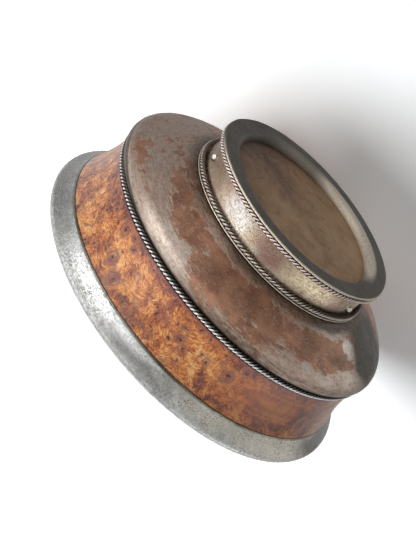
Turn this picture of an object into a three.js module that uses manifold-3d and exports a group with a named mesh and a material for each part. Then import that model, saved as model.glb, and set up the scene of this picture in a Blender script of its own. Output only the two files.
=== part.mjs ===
// Turned burl bowl with silver mounts: a lined inside, a rolled rim band, a spun casing over the
// shoulder, and a short foot collar nailed to the wood between two rings of twisted wire.
// Millimetres, +Z up. The bowl stands upright on the plane z = 0, centred on the Z axis.

import * as THREE from 'three';
import { mergeVertices } from 'three/addons/utils/BufferGeometryUtils.js';
import Module from 'manifold-3d';

// Overall sizes
const LIP_RADIUS = 65;
const BOWL_HEIGHT = 54;
const FOOT_RADIUS = 37.6;

// Silver sheet, and the clearance that every seated piece keeps to its neighbour
const SHEET = 0.6;
const GAP = 0.3;

// Rim mount: a flared outer band, a rolled lip, and a short skirt inside the bowl
const RIM_FLARE = 4.7;
const RIM_BAND_HEIGHT = 7.8;
const RIM_BAND_BOW = 0.15;
const LIP_ROLL = 1.5;
const LIP_ROLL_START = -45;
const LIP_WIDTH = 4.6;
const INNER_ROLL = 1.2;
const INNER_ROLL_END = 145;
const SKIRT_HEIGHT = 7.0;

// Turned wood: the visible belt, the wall at its seam with the rim mount, the floor above the foot
// recess, and the exponent of the inside curve
const BELT_FLARE = 3.4;
const BELT_CURVE = 2.2;
const SEAM_WALL = 4.2;
const FLOOR_THICKNESS = 8.0;
const INSIDE_CURVE = 2.5;

// Shoulder wire, seated in a groove at the foot end of the wooden belt
const SHOULDER_HEIGHT = 26.8;
const SHOULDER_WIRE = 2.0;
const SHOULDER_WIRE_PROUD = 0.9;

// Base casing: a spun cone from the foot collar to a rounded edge under the shoulder wire
const CASING_OVERHANG = 1.4;
const CASING_EDGE_ROLL = 1.6;
const CASING_LIP_DEPTH = 2.2;
const CASING_CURVE_WIDTH = 10;
const CASING_CURVE_HEIGHT = 5.4;
const CASING_SLOPE = 0.46;
const CASING_SEAT_WIDTH = 2.6;

// Foot collar: a slightly waisted band whose top edge is turned out against the casing
const COLLAR_HEIGHT = 12.4;
const COLLAR_INSET = 1.9;
const COLLAR_WAIST = 0.4;
const COLLAR_SEAT_WIDTH = 1.9;
const COLLAR_SEAT_SHEET = 0.4;

// Foot flange: a flat ring turned over into the foot recess
const FLANGE_WIDTH = 6.6;
const FLANGE_ROLL = 1.5;
const RECESS_DEPTH = 3.0;

// Twisted wire: three strands laid together, which give three beads for each full turn
const FOOT_WIRE = 1.6;
const WIRE_STRANDS = 3;
const WIRE_LAY = 4.95;
const WIRE_STEPS_PER_TURN = 5;

// Dome-headed nails through the collar into the wood, placed by hand on the real bowl
const NAIL_HEAD = 2.6;
const NAIL_HEAD_RISE = 1.0;
const NAIL_SHANK = 1.0;
const NAIL_LENGTH = 6.0;
const COLLAR_NAILS = [
  { name: 'collar_nail_1', azimuth: -28, height: 7.0 },
  { name: 'collar_nail_2', azimuth: -161, height: 8.0 },
  { name: 'collar_nail_3', azimuth: 86, height: 7.4 },
];

// Facets
const TURNED_SEGMENTS = 36;
const INSIDE_STEPS = 7;
const BAND_STEPS = 3;
const CURVE_STEPS = 4;
const SHOULDER_STEPS = 5;
const ROLL_STEPS = 3;
const INNER_ROLL_STEPS = 2;
const NAIL_SEGMENTS = 10;

// Places worked out from the sizes above
const SEAM_RADIUS = LIP_RADIUS - RIM_FLARE;
const SEAM_HEIGHT = BOWL_HEIGHT - RIM_BAND_HEIGHT;
const WAIST_RADIUS = SEAM_RADIUS - BELT_FLARE;
const INSIDE_RADIUS = SEAM_RADIUS - SEAM_WALL;
const SKIRT_EDGE = BOWL_HEIGHT - SKIRT_HEIGHT;
const LINING_TOP = SKIRT_EDGE - GAP;
const WOOD_FLOOR = RECESS_DEPTH + FLOOR_THICKNESS;
const LINING_FLOOR = WOOD_FLOOR + GAP + SHEET;
const WOOD_SETBACK = SHEET + GAP;
const SHOULDER_WIRE_RADIUS = WAIST_RADIUS + SHOULDER_WIRE_PROUD - SHOULDER_WIRE / 2;
const GROOVE_RADIUS = SHOULDER_WIRE_RADIUS - SHOULDER_WIRE / 2 - GAP;
const GROOVE_TOP = SHOULDER_HEIGHT + SHOULDER_WIRE / 2 + GAP;
const CASING_TOP = SHOULDER_HEIGHT - SHOULDER_WIRE / 2 - GAP;
const CASING_RADIUS = WAIST_RADIUS + CASING_OVERHANG;
const COLLAR_RADIUS = FOOT_RADIUS - COLLAR_INSET;
const COLLAR_WAIST_RADIUS = COLLAR_RADIUS - COLLAR_WAIST;
const COLLAR_FOOT = SHEET + GAP;
const COLLAR_SEAT = COLLAR_HEIGHT - COLLAR_SEAT_SHEET;
const CASING_SEAT = COLLAR_HEIGHT + GAP;
const CASING_BORE = COLLAR_RADIUS + GAP + SHEET;
const WOOD_FOOT_RADIUS = COLLAR_WAIST_RADIUS - WOOD_SETBACK;
const FLANGE_FACE_RADIUS = FOOT_RADIUS - FLANGE_WIDTH;
const FOOT_WIRE_RADIUS = COLLAR_RADIUS + GAP + FOOT_WIRE / 2;
const FLANGE_WIRE_HEIGHT = SHEET + GAP + FOOT_WIRE / 2;
const COLLAR_WIRE_HEIGHT = COLLAR_SEAT - GAP - FOOT_WIRE / 2;

const FINISHES = {
  burl: { color: 0x9c5a2c, roughness: 0.35, metalness: 0 },
  rim_silver: { color: 0xa6a7a4, roughness: 0.38, metalness: 0.9 },
  lining_silver: { color: 0xb8b6b0, roughness: 0.35, metalness: 0.9 },
  worn_copper: { color: 0x80604d, roughness: 0.4, metalness: 0.85 },
  warm_silver: { color: 0xa59179, roughness: 0.35, metalness: 0.9 },
  dull_silver: { color: 0x666056, roughness: 0.5, metalness: 0.8 },
  wire_silver: { color: 0x9a8f84, roughness: 0.35, metalness: 0.9 },
  nail_silver: { color: 0xc4beb2, roughness: 0.3, metalness: 0.9 },
};

const wasm = await Module();
wasm.setup();

// Profiles are lists of points (radius, height). A turned outline runs anticlockwise with the
// material on its left, so that the faces of the turned solid point outwards.
function point(radius, height) {
  return new THREE.Vector2(radius, height);
}

// Points on an arc of an ellipse, with angles in degrees from the +radius direction.
function arc(centreRadius, centreHeight, halfWidth, halfHeight, from, to, steps) {
  const points = [];
  for (let i = 0; i <= steps; i += 1) {
    const angle = THREE.MathUtils.degToRad(from + ((to - from) * i) / steps);
    const radius = centreRadius + halfWidth * Math.cos(angle);
    points.push(point(radius, centreHeight + halfHeight * Math.sin(angle)));
  }
  return points;
}

// The line at a constant distance to the left of an outline, which is the other face of a sheet.
function parallel(line, distance) {
  return line.map((here, i) => {
    const before = line[Math.max(i - 1, 0)];
    const after = line[Math.min(i + 1, line.length - 1)];
    const arriving = i > 0 ? here.clone().sub(before).normalize() : null;
    const leaving = i < line.length - 1 ? after.clone().sub(here).normalize() : null;
    const first = arriving ?? leaving;
    const second = leaving ?? arriving;
    const left = point(-first.y - second.y, first.x + second.x).normalize();
    const mitre = distance / (left.x * -first.y + left.y * first.x);
    return here.clone().addScaledVector(left, mitre);
  });
}

// The point at a height on the straight line through two points.
function atHeight(first, second, height) {
  return first.clone().lerp(second, (height - first.y) / (second.y - first.y));
}

// The same line with both ends slid along it to the given heights.
function trimmed(line, firstHeight, lastHeight) {
  const last = line.length - 1;
  const ends = [
    atHeight(line[0], line[1], firstHeight),
    atHeight(line[last - 1], line[last], lastHeight),
  ];
  return [ends[0], ...line.slice(1, -1), ends[1]];
}

// The closed outline between the visible face of a sheet and its hidden face.
function between(visible, hidden) {
  const outline = [...visible, ...hidden.slice().reverse()];
  outline.push(outline[0].clone());
  return outline;
}

// The closed outline of a sheet of even thickness whose visible face follows the line.
function sheetOutline(line) {
  return between(line, parallel(line, SHEET));
}

// The inside of the bowl from the rim to the centre, a superellipse in section.
function insideCurve(radius, floor) {
  const points = [];
  for (let i = 0; i <= INSIDE_STEPS; i += 1) {
    const angle = (Math.PI / 2) * (i / INSIDE_STEPS);
    const across = i === INSIDE_STEPS ? 0 : Math.cos(angle) ** (2 / INSIDE_CURVE);
    const down = Math.sin(angle) ** (2 / INSIDE_CURVE);
    points.push(point(radius * across, LINING_TOP - (LINING_TOP - floor) * down));
  }
  return points;
}

// Visible face of the rim mount: up the flared band, over the lip and down the inner skirt.
function rimLine() {
  const rollRadius = LIP_RADIUS - LIP_ROLL;
  const rollHeight = BOWL_HEIGHT - LIP_ROLL;
  const roll = arc(rollRadius, rollHeight, LIP_ROLL, LIP_ROLL, LIP_ROLL_START, 90, ROLL_STEPS);
  const band = [];
  for (let i = 0; i < BAND_STEPS; i += 1) {
    const rise = i / BAND_STEPS;
    const flare = (1 - RIM_BAND_BOW) * rise + RIM_BAND_BOW * rise * rise;
    const radius = THREE.MathUtils.lerp(SEAM_RADIUS, roll[0].x, flare);
    band.push(point(radius, THREE.MathUtils.lerp(SEAM_HEIGHT, roll[0].y, rise)));
  }
  const innerRadius = LIP_RADIUS - LIP_WIDTH + INNER_ROLL;
  const innerHeight = BOWL_HEIGHT - INNER_ROLL;
  const inner = arc(
    innerRadius, innerHeight, INNER_ROLL, INNER_ROLL, 90, INNER_ROLL_END, INNER_ROLL_STEPS,
  );
  return [...band, ...roll, ...inner, point(INSIDE_RADIUS, SKIRT_EDGE)];
}

// Visible face of the base casing: from the collar out along the underside, round the shoulder
// and over the edge that is turned in under the shoulder wire.
function casingLine() {
  const seatEdge = CASING_BORE + CASING_SEAT_WIDTH;
  const rollRadius = CASING_RADIUS - CASING_EDGE_ROLL;
  const rollHeight = CASING_TOP - CASING_EDGE_ROLL;
  const curveRadius = CASING_RADIUS - CASING_CURVE_WIDTH;
  const startAngle = -90 + THREE.MathUtils.radToDeg(
    Math.atan((CASING_SLOPE * CASING_CURVE_WIDTH) / CASING_CURVE_HEIGHT),
  );
  const shoulder = arc(
    curveRadius, rollHeight, CASING_CURVE_WIDTH, CASING_CURVE_HEIGHT, startAngle, 0, SHOULDER_STEPS,
  );
  const edge = arc(rollRadius, rollHeight, CASING_EDGE_ROLL, CASING_EDGE_ROLL, 0, 90, ROLL_STEPS);
  return [
    point(CASING_BORE, CASING_SEAT),
    point(seatEdge, CASING_SEAT),
    ...shoulder,
    ...edge.slice(1),
    point(CASING_RADIUS - CASING_LIP_DEPTH, CASING_TOP),
  ];
}

// Visible face of the foot collar's band, from the flange up to its turned-out seat.
function collarLine() {
  const points = [];
  for (let i = 0; i <= CURVE_STEPS; i += 1) {
    const rise = i / CURVE_STEPS;
    const radius = COLLAR_RADIUS - COLLAR_WAIST * Math.sin(Math.PI * rise);
    points.push(point(radius, THREE.MathUtils.lerp(COLLAR_FOOT, COLLAR_SEAT, rise)));
  }
  return points;
}

// Visible face of the flange: down the inner wall of the recess and out along the flat face.
function flangeLine() {
  const wallTop = RECESS_DEPTH - GAP;
  const roll = arc(FLANGE_FACE_RADIUS, wallTop, FLANGE_ROLL, wallTop, 180, 270, CURVE_STEPS);
  return [...roll, point(FOOT_RADIUS, 0)];
}

function mesh(name, finish, geometry) {
  const made = new THREE.Mesh(geometry, new THREE.MeshStandardMaterial(FINISHES[finish]));
  made.name = name;
  return made;
}

// Turns a profile about the Z axis.
function turned(profile) {
  const geometry = new THREE.LatheGeometry(profile, TURNED_SEGMENTS);
  return geometry.rotateX(Math.PI / 2);
}

function toManifold(geometry) {
  const plain = geometry.clone();
  plain.deleteAttribute('normal');
  plain.deleteAttribute('uv');
  const merged = mergeVertices(plain, 1e-4);
  return new wasm.Manifold(new wasm.Mesh({
    numProp: 3,
    vertProperties: new Float32Array(merged.attributes.position.array),
    triVerts: new Uint32Array(merged.index.array),
  }));
}

function fromManifold(solid) {
  const result = solid.getMesh();
  const geometry = new THREE.BufferGeometry();
  geometry.setAttribute('position', new THREE.BufferAttribute(result.vertProperties, 3));
  geometry.setIndex(new THREE.BufferAttribute(result.triVerts, 1));
  geometry.computeVertexNormals();
  return geometry;
}

// A cylinder along a collar nail, from the given distance to the axis outwards.
function nailBore(nail, fromRadius, toRadius) {
  const length = toRadius - fromRadius;
  const radius = NAIL_SHANK / 2 + GAP;
  const bore = new THREE.CylinderGeometry(radius, radius, length, NAIL_SEGMENTS);
  bore.rotateZ(-Math.PI / 2);
  bore.translate((fromRadius + toRadius) / 2, 0, nail.height);
  bore.rotateZ(THREE.MathUtils.degToRad(nail.azimuth));
  return toManifold(bore);
}

// Drills a turned solid for every collar nail.
function drilled(geometry, fromRadius, toRadius) {
  let solid = toManifold(geometry);
  for (const nail of COLLAR_NAILS) {
    solid = solid.subtract(nailBore(nail, fromRadius, toRadius));
  }
  return fromManifold(solid);
}

function nailTip() {
  return COLLAR_RADIUS - NAIL_LENGTH;
}

function burlBowl() {
  const flange = parallel(flangeLine(), WOOD_SETBACK);
  const casing = parallel(casingLine(), WOOD_SETBACK);
  const beltTop = SEAM_HEIGHT - GAP;
  const rim = trimmed(parallel(rimLine(), WOOD_SETBACK), beltTop, LINING_TOP);
  const belt = [];
  for (let i = 0; i <= CURVE_STEPS; i += 1) {
    const rise = i / CURVE_STEPS;
    const radius = WAIST_RADIUS + BELT_FLARE * rise ** BELT_CURVE;
    belt.push(point(radius, THREE.MathUtils.lerp(GROOVE_TOP, beltTop, rise)));
  }
  const profile = [
    point(0, RECESS_DEPTH),
    point(flange[0].x, RECESS_DEPTH),
    ...flange.slice(0, -1),
    point(WOOD_FOOT_RADIUS, flange[flange.length - 1].y),
    point(WOOD_FOOT_RADIUS, casing[0].y),
    ...casing.slice(1, -1),
    point(GROOVE_RADIUS, casing[casing.length - 1].y),
    point(GROOVE_RADIUS, GROOVE_TOP),
    ...belt,
    ...rim.slice(0, -1),
    ...insideCurve(INSIDE_RADIUS + WOOD_SETBACK, WOOD_FLOOR),
  ];
  return mesh('burl_bowl', 'burl', drilled(turned(profile), nailTip() - GAP, FOOT_RADIUS));
}

function rimMount() {
  const hidden = trimmed(parallel(rimLine(), SHEET), SEAM_HEIGHT, SKIRT_EDGE);
  return mesh('rim_mount', 'rim_silver', turned(between(rimLine(), hidden)));
}

function silverLining() {
  const inner = insideCurve(INSIDE_RADIUS, LINING_FLOOR);
  const outer = insideCurve(INSIDE_RADIUS + SHEET, LINING_FLOOR - SHEET).reverse();
  return mesh('silver_lining', 'lining_silver', turned([...outer, ...inner]));
}

function baseCasing() {
  return mesh('base_casing', 'worn_copper', turned(sheetOutline(casingLine())));
}

function footCollar() {
  const band = collarLine();
  const seatEdge = COLLAR_RADIUS + COLLAR_SEAT_WIDTH;
  const inner = parallel(band, SHEET);
  inner[0] = point(COLLAR_RADIUS - SHEET, COLLAR_FOOT);
  inner[inner.length - 1] = point(COLLAR_RADIUS - SHEET, COLLAR_HEIGHT);
  const outline = [
    ...band,
    point(seatEdge, COLLAR_SEAT),
    point(seatEdge, COLLAR_HEIGHT),
    ...inner.reverse(),
  ];
  outline.push(outline[0].clone());
  const geometry = drilled(turned(outline), nailTip(), FOOT_RADIUS);
  return mesh('foot_collar', 'warm_silver', geometry);
}

function footFlange() {
  return mesh('foot_flange', 'dull_silver', turned(sheetOutline(flangeLine())));
}

// A ring of twisted wire. The section is a triangle with a strand at each corner, which turns
// about the ring's own line a whole number of times.
function twistedWire(name, ringRadius, height, width) {
  const turns = Math.round((2 * Math.PI * ringRadius) / WIRE_LAY);
  const steps = turns * WIRE_STEPS_PER_TURN;
  const positions = [];
  const index = [];
  for (let i = 0; i < steps; i += 1) {
    const along = (2 * Math.PI * i) / steps;
    const here = i * WIRE_STRANDS;
    const next = ((i + 1) % steps) * WIRE_STRANDS;
    for (let strand = 0; strand < WIRE_STRANDS; strand += 1) {
      const angle = along * turns + (2 * Math.PI * strand) / WIRE_STRANDS;
      const radius = ringRadius + (width / 2) * Math.cos(angle);
      const z = height + (width / 2) * Math.sin(angle);
      positions.push(radius * Math.cos(along), radius * Math.sin(along), z);
      const other = (strand + 1) % WIRE_STRANDS;
      index.push(here + strand, next + strand, here + other);
      index.push(here + other, next + strand, next + other);
    }
  }
  const geometry = new THREE.BufferGeometry();
  geometry.setAttribute('position', new THREE.Float32BufferAttribute(positions, 3));
  geometry.setIndex(index);
  geometry.computeVertexNormals();
  return mesh(name, 'wire_silver', geometry);
}

// A nail along the +X axis, turned from its tip to the dome of its head.
function collarNail(nail) {
  const seat = COLLAR_RADIUS + GAP;
  const shank = NAIL_SHANK / 2;
  const dome = arc(0, seat, NAIL_HEAD / 2, NAIL_HEAD_RISE, 0, 90, ROLL_STEPS);
  dome[dome.length - 1].x = 0;
  const profile = [
    point(0, nailTip()),
    point(shank, nailTip() + NAIL_SHANK),
    point(shank, seat),
    ...dome,
  ];
  const geometry = new THREE.LatheGeometry(profile, NAIL_SEGMENTS);
  geometry.rotateZ(-Math.PI / 2);
  const made = mesh(nail.name, 'nail_silver', geometry);
  made.position.z = nail.height;
  made.rotation.z = THREE.MathUtils.degToRad(nail.azimuth);
  return made;
}

const bowl = new THREE.Group();
bowl.name = 'silver_mounted_bowl';
bowl.add(burlBowl());
bowl.add(silverLining());
bowl.add(rimMount());
bowl.add(twistedWire('shoulder_wire', SHOULDER_WIRE_RADIUS, SHOULDER_HEIGHT, SHOULDER_WIRE));
bowl.add(baseCasing());
bowl.add(footCollar());
bowl.add(twistedWire('collar_wire', FOOT_WIRE_RADIUS, COLLAR_WIRE_HEIGHT, FOOT_WIRE));
bowl.add(twistedWire('flange_wire', FOOT_WIRE_RADIUS, FLANGE_WIRE_HEIGHT, FOOT_WIRE));
bowl.add(footFlange());
for (const nail of COLLAR_NAILS) {
  bowl.add(collarNail(nail));
}

export default bowl;
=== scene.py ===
"""Looks of a turned burl bowl with silver mounts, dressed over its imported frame.

The bowl stands upright on its foot, mouth up, centred on the Z axis. Sizes are millimetres in the
classes below and become metres where a mesh is made. Every ring is turned about the Z axis from
its section, and every finish is a node material that reads the place on the piece.
"""

import logging
import math
from dataclasses import dataclass, field
from enum import Enum
from typing import ClassVar, Protocol, Sequence, Union

import bpy
from mathutils import Matrix, Vector


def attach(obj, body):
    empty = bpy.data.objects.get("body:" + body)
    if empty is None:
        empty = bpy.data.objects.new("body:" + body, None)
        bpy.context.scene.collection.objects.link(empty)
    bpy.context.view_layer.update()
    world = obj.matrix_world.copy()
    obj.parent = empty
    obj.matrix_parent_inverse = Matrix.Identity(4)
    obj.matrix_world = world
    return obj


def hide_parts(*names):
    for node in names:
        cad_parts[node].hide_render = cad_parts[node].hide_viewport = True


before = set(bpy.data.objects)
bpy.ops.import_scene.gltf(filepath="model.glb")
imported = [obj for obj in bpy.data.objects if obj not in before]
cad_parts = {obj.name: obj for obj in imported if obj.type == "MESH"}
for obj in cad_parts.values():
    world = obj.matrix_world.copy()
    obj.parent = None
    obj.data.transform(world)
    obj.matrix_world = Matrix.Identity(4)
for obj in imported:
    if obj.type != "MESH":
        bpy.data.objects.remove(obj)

LOG = logging.getLogger("bowl")
MM = 0.001
WHOLE_TURN = 2 * math.pi
Point = tuple[float, float]
Direction = tuple[float, float, float]
Socket = bpy.types.NodeSocket
Value = Union[float, str, Sequence[float], Socket]
Piece = bpy.types.Object


# Node materials


def linear(tone: str) -> tuple[float, float, float, float]:
    """Turns a screen colour into the linear colour that a shader takes.

    Args:
        tone: Six hexadecimal digits.

    Returns:
        Linear red, green, blue and an alpha of one.
    """
    channels = [int(tone[i:i + 2], 16) / 255 for i in (0, 2, 4)]
    red, green, blue = (
        c / 12.92 if c <= 0.04045 else ((c + 0.055) / 1.055) ** 2.4 for c in channels
    )
    return red, green, blue, 1.0


def compass(azimuth: float) -> Direction:
    """Returns the level direction of an azimuth in degrees."""
    return math.cos(math.radians(azimuth)), math.sin(math.radians(azimuth)), 0.0


class Across(Enum):
    """What a patch is placed by, besides its azimuth."""

    RADIUS = "radius"
    HEIGHT = "height"


@dataclass(frozen=True)
class Patch:
    """A place on a turned piece, by azimuth and by radius or height, with its reach and weight."""

    azimuth: float
    across: float
    azimuth_reach: float
    across_reach: float
    weight: float


class Wiring:
    """The nodes of a material or of the world, added and linked by short calls."""

    def __init__(self, owner: bpy.types.Material | bpy.types.World) -> None:
        """Starts with no nodes.

        Args:
            owner: The material or world.
        """
        owner.use_nodes = True
        self.nodes, self.links = owner.node_tree.nodes, owner.node_tree.links
        self.nodes.clear()

    def put(self, socket: Socket, value: Value) -> None:
        """Links a socket or sets its own number or colour.

        Args:
            socket: The input to fill.
            value: Another node's output, a plain value, or a screen colour of six digits.
        """
        if isinstance(value, bpy.types.NodeSocket):
            self.links.new(value, socket)
        else:
            socket.default_value = linear(value) if isinstance(value, str) else value

    def add(self, kind: str, *inputs: Value, named: dict[str, Value] | None = None,
            **settings: str) -> bpy.types.Node:
        """Adds a node.

        Args:
            kind: Its type, after the word ShaderNode.
            *inputs: What its first inputs get, in order.
            named: What other inputs get, by name.
            **settings: Its own settings.

        Returns:
            The node.
        """
        node = self.nodes.new("ShaderNode" + kind)
        for name, choice in settings.items():
            setattr(node, name, choice)
        for socket, value in zip(node.inputs, inputs):
            self.put(socket, value)
        for name, value in (named or {}).items():
            self.put(node.inputs[name], value)
        return node

    def math(self, operation: str, *values: Value) -> Socket:
        """Adds a Math node and returns its result."""
        return self.add("Math", *values, operation=operation).outputs[0]

    def times(self, first: Value, *others: Value) -> Value:
        """Multiplies numbers.

        Args:
            first: The first number.
            *others: What it is multiplied by.

        Returns:
            The product.
        """
        for other in others:
            first = self.math("MULTIPLY", first, other)
        return first

    def plus(self, first: Value, *others: Value) -> Value:
        """Adds numbers.

        Args:
            first: The first number.
            *others: What is added to it.

        Returns:
            The sum.
        """
        for other in others:
            first = self.math("ADD", first, other)
        return first

    def minus(self, first: Value, second: Value) -> Socket:
        """Takes one number from another."""
        return self.math("SUBTRACT", first, second)

    def swing(self, noise: Socket, reach: float) -> Socket:
        """Centres a noise on zero and gives it a weight."""
        return self.times(self.minus(noise, 0.5), reach)

    def vector(self, operation: str, *values: Value) -> Socket:
        """Adds a Vector Math node and returns its vector."""
        return self.add("VectorMath", *values, operation=operation).outputs["Vector"]

    def measured(self, operation: str, *values: Value) -> Socket:
        """Adds a Vector Math node and returns its number."""
        return self.add("VectorMath", *values, operation=operation).outputs["Value"]

    def scaled(self, place: Value, factor: float) -> Socket:
        """Multiplies a vector by a number."""
        node = self.add("VectorMath", place, named={"Scale": factor}, operation="SCALE")
        return node.outputs["Vector"]

    def joined(self, x: Value, y: Value, z: Value = 0.0) -> Socket:
        """Makes a vector of three numbers."""
        return self.add("CombineXYZ", x, y, z).outputs[0]

    def ease(self, value: Value, low: float, high: float, start: float = 0.0,
             end: float = 1.0) -> Socket:
        """Goes smoothly from start to end as a value goes from low to high."""
        return self.add("MapRange", value, low, high, start, end,
                        interpolation_type="SMOOTHSTEP").outputs[0]

    def bell(self, value: Value, centre: float, width: float) -> Socket:
        """Is one where a value is at the centre, and falls to zero at a width from it."""
        off = self.math("ABSOLUTE", self.minus(value, centre))
        return self.ease(off, 0.0, width, 1.0, 0.0)

    def mix(self, share: Value, under: Value, over: Value) -> Socket:
        """Mixes a second colour into a first.

        Args:
            share: The second colour's share.
            under: The first colour.
            over: The second colour.

        Returns:
            The mixed colour.
        """
        node = self.add("Mix", share, data_type="RGBA")
        self.put(node.inputs[6], under)
        self.put(node.inputs[7], over)
        return node.outputs[2]

    def coats(self, colour: Value, *coats: tuple[Value, Value]) -> Value:
        """Lays further colours over a first, one after the other.

        Args:
            colour: The first colour.
            *coats: Each coat's share and its tone.

        Returns:
            The colour of them all.
        """
        for share, tone in coats:
            colour = self.mix(share, colour, tone)
        return colour


class Graph(Wiring):
    """The nodes of one finish, with the place on the bowl in millimetres."""

    def __init__(self, name: str) -> None:
        """Starts a material with one principled shader.

        Args:
            name: Name of the material.
        """
        self.material = bpy.data.materials.new(name)
        super().__init__(self.material)
        self.shader = self.add("BsdfPrincipled")
        self.add("OutputMaterial", self.shader.outputs["BSDF"])
        self.place = self.scaled(self.add("TexCoord").outputs["Object"], 1 / MM)
        self.x, self.y, self.height = self.add("SeparateXYZ", self.place).outputs
        flat = self.joined(self.x, self.y)
        self.radius = self.measured("LENGTH", flat)
        self.outward = self.vector("NORMALIZE", flat)
        self.turn = self.math("ARCTAN2", self.x, self.times(self.y, -1.0))

    def noise(self, where: Value, scale: float, detail: float = 4.0, rough: float = 0.55,
              bend: float = 0.0, output: str = "Fac") -> Socket:
        """Adds smooth noise.

        Args:
            where: Place that the noise is read at, in millimetres.
            scale: Features to a millimetre.
            detail: Number of finer layers.
            rough: Weight of the finer layers.
            bend: How far the noise bends itself.
            output: Fac for a number about one half, Color for three of them.

        Returns:
            The noise.
        """
        node = self.add("TexNoise", named={"Vector": where, "Scale": scale, "Detail": detail,
                                           "Roughness": rough, "Distortion": bend})
        return node.outputs[output]

    def drifted(self, where: Value, scale: float, reach: float) -> Socket:
        """Moves a place by noise, which bends whatever is read there.

        Args:
            where: Place in millimetres.
            scale: Features to a millimetre.
            reach: How far a place may move, in millimetres.

        Returns:
            The moved place.
        """
        drift = self.noise(where, scale, 2.0, 0.5, output="Color")
        centred = self.vector("SUBTRACT", drift, (0.5, 0.5, 0.5))
        return self.vector("ADD", where, self.scaled(centred, 2 * reach))

    def ring_noise(self, along: float, across: float, slope: float, detail: float, rough: float,
                   bend: float = 0.0) -> Socket:
        """Adds noise that is drawn out round the ring, with a seam at the back where it slopes.

        Args:
            along: Scale along the ring, small for long marks.
            across: Scale across the ring.
            slope: How much the marks slope.
            detail: Number of finer layers.
            rough: Weight of the finer layers.
            bend: How far the noise bends itself.

        Returns:
            The noise, a number about one half.
        """
        level = self.times(self.plus(self.height, self.times(self.radius, 0.8)), across)
        if slope:
            level = self.plus(level, self.times(self.turn, slope))
        ring = self.scaled(self.outward, along)
        where = self.vector("ADD", ring, self.joined(0.0, 0.0, level))
        return self.noise(where, 1.0, detail, rough, bend)

    def scratches(self, sets: Sequence[tuple[float, float, float, float]], detail: float,
                  rough: float) -> Socket:
        """Draws thin marks round the ring, none at the hidden seam of their pattern.

        Args:
            sets: Scales along and across, slope, and the noise past which a mark shows.
            detail: Number of finer layers.
            rough: Weight of the finer layers.

        Returns:
            One on a mark and zero beside it.
        """
        marks: Value = 0.0
        for along, across, slope, start in sets:
            line = self.ring_noise(along, across, slope, detail, rough)
            marks = self.math("MAXIMUM", marks, self.ease(line, start, start + 0.10))
        return self.times(marks, self.ease(self.math("ABSOLUTE", self.turn), 2.95, 3.10, 1.0, 0.0))

    def patched(self, where: Socket, patches: Sequence[Patch], across: Across) -> Value:
        """Adds up the patches that a place lies in.

        Args:
            where: Place in millimetres, moved by noise for ragged edges.
            patches: The patches.
            across: What their second number is.

        Returns:
            The sum of their weights there.
        """
        flat = self.vector("MULTIPLY", where, (1.0, 1.0, 0.0))
        way = self.vector("NORMALIZE", flat)
        if across is Across.RADIUS:
            place = self.measured("LENGTH", flat)
        else:
            place = self.measured("DOT_PRODUCT", where, (0.0, 0.0, 1.0))
        total: Value = 0.0
        for patch in patches:
            facing = self.measured("DOT_PRODUCT", way, compass(patch.azimuth))
            reach = math.cos(math.radians(patch.azimuth_reach))
            near = self.ease(facing, reach, 1.0, 0.0, patch.weight)
            near = self.times(near, self.bell(place, patch.across, patch.across_reach))
            total = self.plus(total, near)
        return total

    def ramp(self, value: Value, *stops: tuple[float, str]) -> Socket:
        """Reads a colour from a row of screen colours.

        Args:
            value: Where to read, from zero to one.
            *stops: Positions and their colours, in order.

        Returns:
            The colour.
        """
        node = self.add("ValToRGB", value)
        elements = node.color_ramp.elements
        while len(elements) < len(stops):
            elements.new(0.5)
        for element, (position, tone) in zip(elements, stops):
            element.position = position
            element.color = linear(tone)
        return node.outputs["Color"]

    def relief(self, *layers: tuple[Value, float]) -> Socket:
        """Turns heights from zero to one into a shading normal.

        Args:
            *layers: Heights, each with what a height of one stands for in millimetres.

        Returns:
            The normal.
        """
        normal: Socket | None = None
        for height, depth in layers:
            node = self.add("Bump", named={"Strength": 1.0, "Distance": depth * MM,
                                           "Height": height})
            if normal is not None:
                self.put(node.inputs["Normal"], normal)
            normal = node.outputs["Normal"]
        return normal

    def dress(self, colour: Value, roughness: Value, normal: Value, metallic: float,
              **constants: float) -> bpy.types.Material:
        """Fills the principled shader.

        Args:
            colour: Base colour.
            roughness: Roughness.
            normal: Shading normal.
            metallic: One for a metal and zero for wood.
            **constants: Further inputs, named with underscores for spaces.

        Returns:
            The finished material.
        """
        fills = {"Base Color": colour, "Roughness": roughness, "Normal": normal,
                 "Metallic": metallic}
        for name, value in (fills | constants).items():
            self.put(self.shader.inputs[name.replace("_", " ")], value)
        return self.material


# Finishes


class Finish(Protocol):
    """What a piece is dressed in."""

    def build(self) -> bpy.types.Material:
        """Returns the material."""


@dataclass(frozen=True)
class Eyes:
    """Knots of one size in the burl, by azimuth in degrees and height in millimetres."""

    reach: float
    spacing: float
    pupil: float
    places: tuple[Point, ...]


BIG_EYES = Eyes(2.9, 0.70, 0.42, (
    (-68.0, 42.3), (-62.0, 39.2), (-113.5, 35.6), (-57.0, 31.9), (-20.0, 36.0), (-152.0, 40.5),
    (24.0, 33.0), (61.0, 41.0), (118.0, 35.5), (151.0, 42.0), (176.0, 34.0),
))
MIDDLE_EYES = Eyes(1.7, 0.52, 0.32, (
    (-93.5, 33.2), (-97.0, 29.6), (-97.0, 38.4), (-61.5, 30.3), (-117.0, 30.6), (-64.5, 31.9),
    (-41.5, 30.9), (-36.5, 40.3), (-47.0, 31.4), (-105.5, 36.1), (-78.0, 44.2), (-95.0, 36.9),
    (-14.0, 43.0), (-2.0, 34.5), (12.0, 40.5), (30.0, 37.5), (46.0, 31.5), (55.0, 36.0),
    (72.0, 33.0), (104.0, 40.0), (111.0, 31.0), (129.0, 38.0), (140.0, 32.0), (160.0, 37.5),
    (168.0, 30.5), (-168.0, 36.0),
))
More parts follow.
